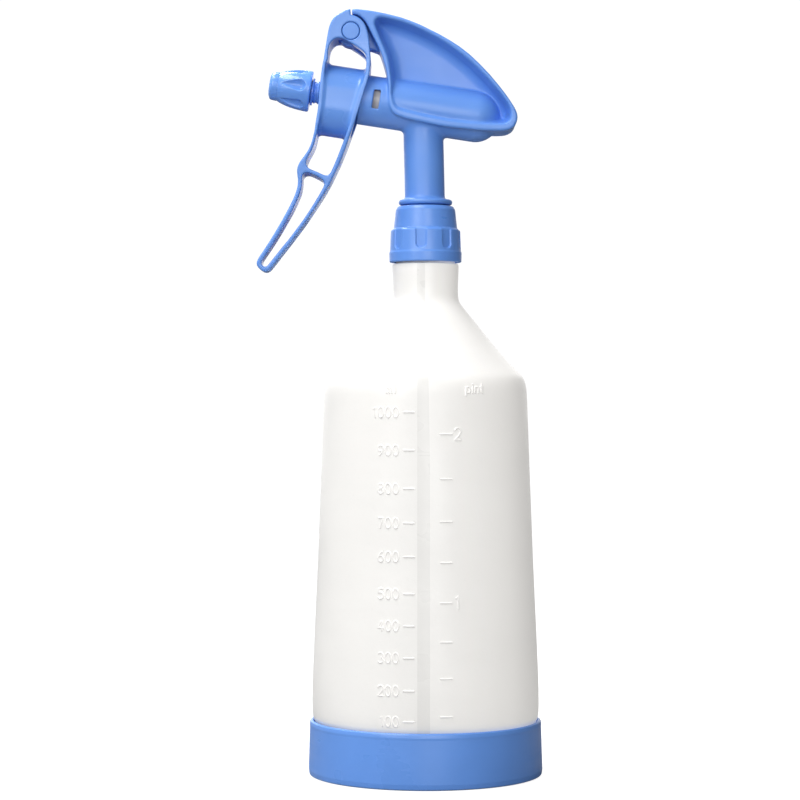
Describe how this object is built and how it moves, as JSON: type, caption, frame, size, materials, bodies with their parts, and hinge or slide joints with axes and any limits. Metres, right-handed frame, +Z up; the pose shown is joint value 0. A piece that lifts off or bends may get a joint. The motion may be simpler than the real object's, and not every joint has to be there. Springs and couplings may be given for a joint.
{
  "type": "spray bottle",
  "caption": "Handheld trigger spray bottle: translucent graduated bottle with a base cup and a blue double-action pump head with an adjustable nozzle.",
  "frame": {"origin": "centre of the bottle's axis on the surface it stands on", "axes": "+Z up along the bottle's axis, -X is the way the nozzle points, +Y across the head"},
  "size_m": [0.1264, 0.1034, 0.3369],
  "materials": {
    "bottle_plastic": "translucent natural polyethylene, soft satin",
    "blue_plastic": "moulded polypropylene, satin gloss",
    "natural_plastic": "uncoloured moulded plastic",
    "tube_plastic": "extruded translucent tube",
    "grey_plastic": "warm grey acetal, satin",
    "seal_rubber": "nitrile rubber, matte",
    "steel": "stainless wire and ball, polished"
  },
  "bodies": {
    "bottle": {"bottle": "bottle_plastic", "base_cup": "blue_plastic"},
    "tube": {"neck_gasket": "natural_plastic", "tube_adapter": "natural_plastic", "dip_tube": "tube_plastic", "dip_tube_filter": "natural_plastic"},
    "collar": {"collar_nut": "blue_plastic"},
    "head": {"head_body": "blue_plastic", "trigger_pivot_pin": "blue_plastic", "inlet_valve_seat": "natural_plastic", "vent_valve": "seal_rubber", "cylinder_liner": "grey_plastic", "front_gland": "blue_plastic", "rod_seal": "seal_rubber", "return_spring": "steel"},
    "trigger": {"trigger": "blue_plastic"},
    "plunger": {"piston": "natural_plastic", "piston_seal_front": "seal_rubber", "piston_seal_rear": "seal_rubber", "piston_rod": "blue_plastic", "transfer_valve_cage": "natural_plastic", "drive_yoke": "grey_plastic", "swirl_core": "natural_plastic"},
    "nozzle_seal": {"nozzle_o_ring": "seal_rubber"},
    "nozzle": {"nozzle_cap": "blue_plastic"},
    "inlet_ball": {"inlet_valve_ball": "steel"},
    "transfer_ball": {"transfer_valve_ball": "steel"}
  },
  "joints": [
    {"name": "head_lift", "type": "slide", "parent": "bottle", "child": "tube", "axis": [0, 0, 1], "range_m": [0, 0.245]},
    {"name": "collar_turn", "type": "hinge", "parent": "tube", "child": "collar", "pos_m": [0, 0, 0.2386], "axis": [0, 0, 1], "range_deg": [0, 540]},
    {"name": "head_swivel", "type": "hinge", "parent": "tube", "child": "head", "pos_m": [0, 0, 0.2386], "axis": [0, 0, 1], "range_deg": [-180, 180]},
    {"name": "trigger_pivot", "type": "hinge", "parent": "head", "child": "trigger", "pos_m": [-0.03285, 0, 0.3271], "axis": [0, -1, 0], "range_deg": [0, 20]},
    {"name": "plunger_slide", "type": "slide", "parent": "head", "child": "plunger", "axis": [0.9882, 0, -0.153], "range_m": [0, 0.0098], "deforming": ["return_spring"]},
    {"name": "nozzle_advance", "type": "slide", "parent": "plunger", "child": "nozzle_seal", "axis": [-0.9882, 0, 0.153], "range_m": [0, 0.003]},
    {"name": "nozzle_turn", "type": "hinge", "parent": "nozzle_seal", "child": "nozzle", "pos_m": [-0.0371, 0, 0.2998], "axis": [-0.9882, 0, 0.153], "range_deg": [0, 540]},
    {"name": "inlet_ball_lift", "type": "slide", "parent": "head", "child": "inlet_ball", "axis": [0, 0, 1], "range_m": [0, 0.0015]},
    {"name": "transfer_ball_lift", "type": "slide", "parent": "plunger", "child": "transfer_ball", "axis": [-0.9882, 0, 0.153], "range_m": [0, 0.0012]}
  ],
  "couplings": [
    {"joint": "plunger_slide", "follows": "trigger_pivot", "m_per_rad": 0.0277},
    {"joint": "nozzle_turn", "follows": "nozzle_advance", "rad_per_m": 3141.6}
  ]
}
